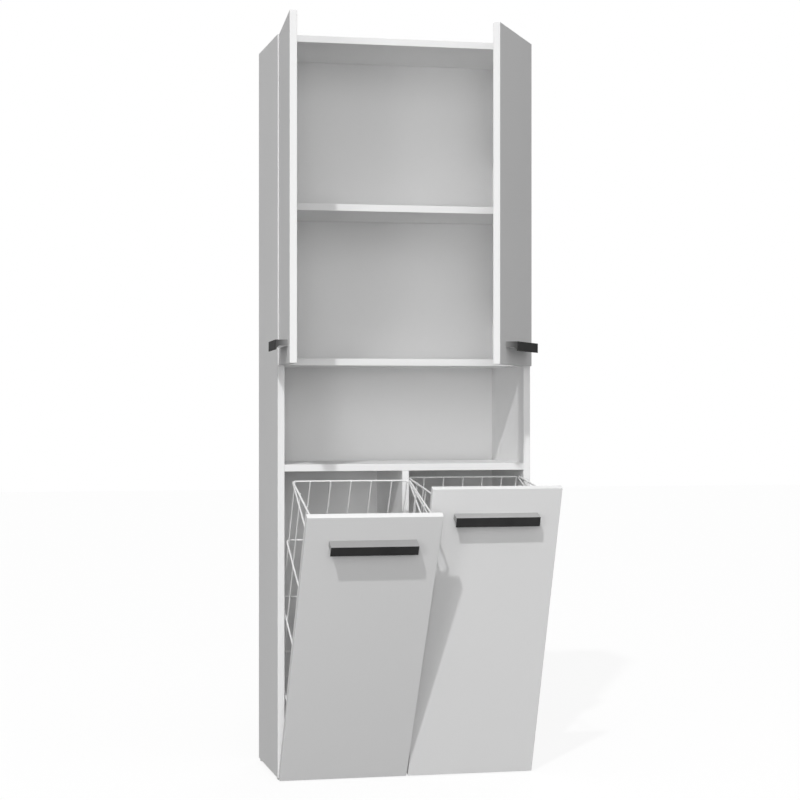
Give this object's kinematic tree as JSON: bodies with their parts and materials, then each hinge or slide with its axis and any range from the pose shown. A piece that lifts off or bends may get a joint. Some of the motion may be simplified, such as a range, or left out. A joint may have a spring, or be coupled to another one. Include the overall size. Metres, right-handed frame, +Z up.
{
  "type": "bathroom cabinet",
  "caption": "Tall white bathroom cabinet with a doored upper compartment and shelf, an open niche and tilt-out laundry hampers that carry wire baskets below.",
  "frame": {"origin": "on the floor, under the middle of the carcass: the foot of the middle glide", "axes": "+X to the right as seen from the front, +Y to the back, towards the wall, +Z up"},
  "size_m": [0.6473, 0.6527, 1.728],
  "materials": {
    "white_laminate": "white satin laminate on particle board",
    "hardboard": "thin hardboard, white on its inner face and raw on its outer face",
    "white_wire": "white epoxy-coated steel wire",
    "bright_aluminium": "satin bright metal",
    "black_lip": "matte black",
    "nickel_steel": "nickel-plated pressed steel",
    "zinc_steel": "zinc-plated steel",
    "white_plastic": "white moulded plastic",
    "clear_bumper": "clear soft bumper",
    "beech": "raw beech dowel"
  },
  "bodies": {
    "cabinet": {"back_panel": "hardboard", "bottom_panel": "white_laminate", "cam_bolts": "zinc_steel", "cam_locks": "zinc_steel", "door_hinge_arms": "nickel_steel", "door_hinge_plates": "nickel_steel", "dowels": "beech", "floor_glides": "white_plastic", "hamper_divider": "white_laminate", "hamper_hinge_arms": "nickel_steel", "hamper_hinge_plates": "nickel_steel", "niche_floor_panel": "white_laminate", "niche_top_panel": "white_laminate", "shelf_pins": "white_plastic", "side_panel_left": "white_laminate", "side_panel_right": "white_laminate", "top_panel": "white_laminate", "upper_shelf": "white_laminate", "wall_brackets": "zinc_steel", "wood_screws": "zinc_steel"},
    "left_door": {"left_door_bumpers": "clear_bumper", "left_door_handle": "bright_aluminium", "left_door_handle_lip": "black_lip", "left_door_handle_screws": "zinc_steel", "left_door_hinge_cups": "nickel_steel", "left_door_hinge_pins": "nickel_steel", "left_door_panel": "white_laminate"},
    "right_door": {"right_door_bumpers": "clear_bumper", "right_door_handle": "bright_aluminium", "right_door_handle_lip": "black_lip", "right_door_handle_screws": "zinc_steel", "right_door_hinge_cups": "nickel_steel", "right_door_hinge_pins": "nickel_steel", "right_door_panel": "white_laminate"},
    "left_hamper": {"left_hamper_basket_back": "white_wire", "left_hamper_basket_bottom": "white_wire", "left_hamper_basket_clips": "white_plastic", "left_hamper_basket_front": "white_wire", "left_hamper_basket_sides": "white_wire", "left_hamper_bumpers": "clear_bumper", "left_hamper_front": "white_laminate", "left_hamper_handle": "bright_aluminium", "left_hamper_handle_lip": "black_lip", "left_hamper_handle_screws": "zinc_steel", "left_hamper_hinge_cups": "nickel_steel", "left_hamper_hinge_pins": "nickel_steel"},
    "right_hamper": {"right_hamper_basket_back": "white_wire", "right_hamper_basket_bottom": "white_wire", "right_hamper_basket_clips": "white_plastic", "right_hamper_basket_front": "white_wire", "right_hamper_basket_sides": "white_wire", "right_hamper_bumpers": "clear_bumper", "right_hamper_front": "white_laminate", "right_hamper_handle": "bright_aluminium", "right_hamper_handle_lip": "black_lip", "right_hamper_handle_screws": "zinc_steel", "right_hamper_hinge_cups": "nickel_steel", "right_hamper_hinge_pins": "nickel_steel"}
  },
  "joints": [
    {"name": "left_door_hinge", "type": "hinge", "parent": "cabinet", "child": "left_door", "pos_m": [-0.2915, -0.1509, 1.327], "axis": [0, 0, -1], "range_deg": [-95, 10]},
    {"name": "right_door_hinge", "type": "hinge", "parent": "cabinet", "child": "right_door", "pos_m": [0.2915, -0.1509, 1.327], "axis": [0, 0, 1], "range_deg": [-60, 45]},
    {"name": "left_hamper_hinge", "type": "hinge", "parent": "cabinet", "child": "left_hamper", "pos_m": [-0.15, -0.1509, 0.011], "axis": [1, 0, 0], "range_deg": [-30, 0]},
    {"name": "right_hamper_hinge", "type": "hinge", "parent": "cabinet", "child": "right_hamper", "pos_m": [0.15, -0.1509, 0.011], "axis": [1, 0, 0], "range_deg": [-20, 10]}
  ]
}
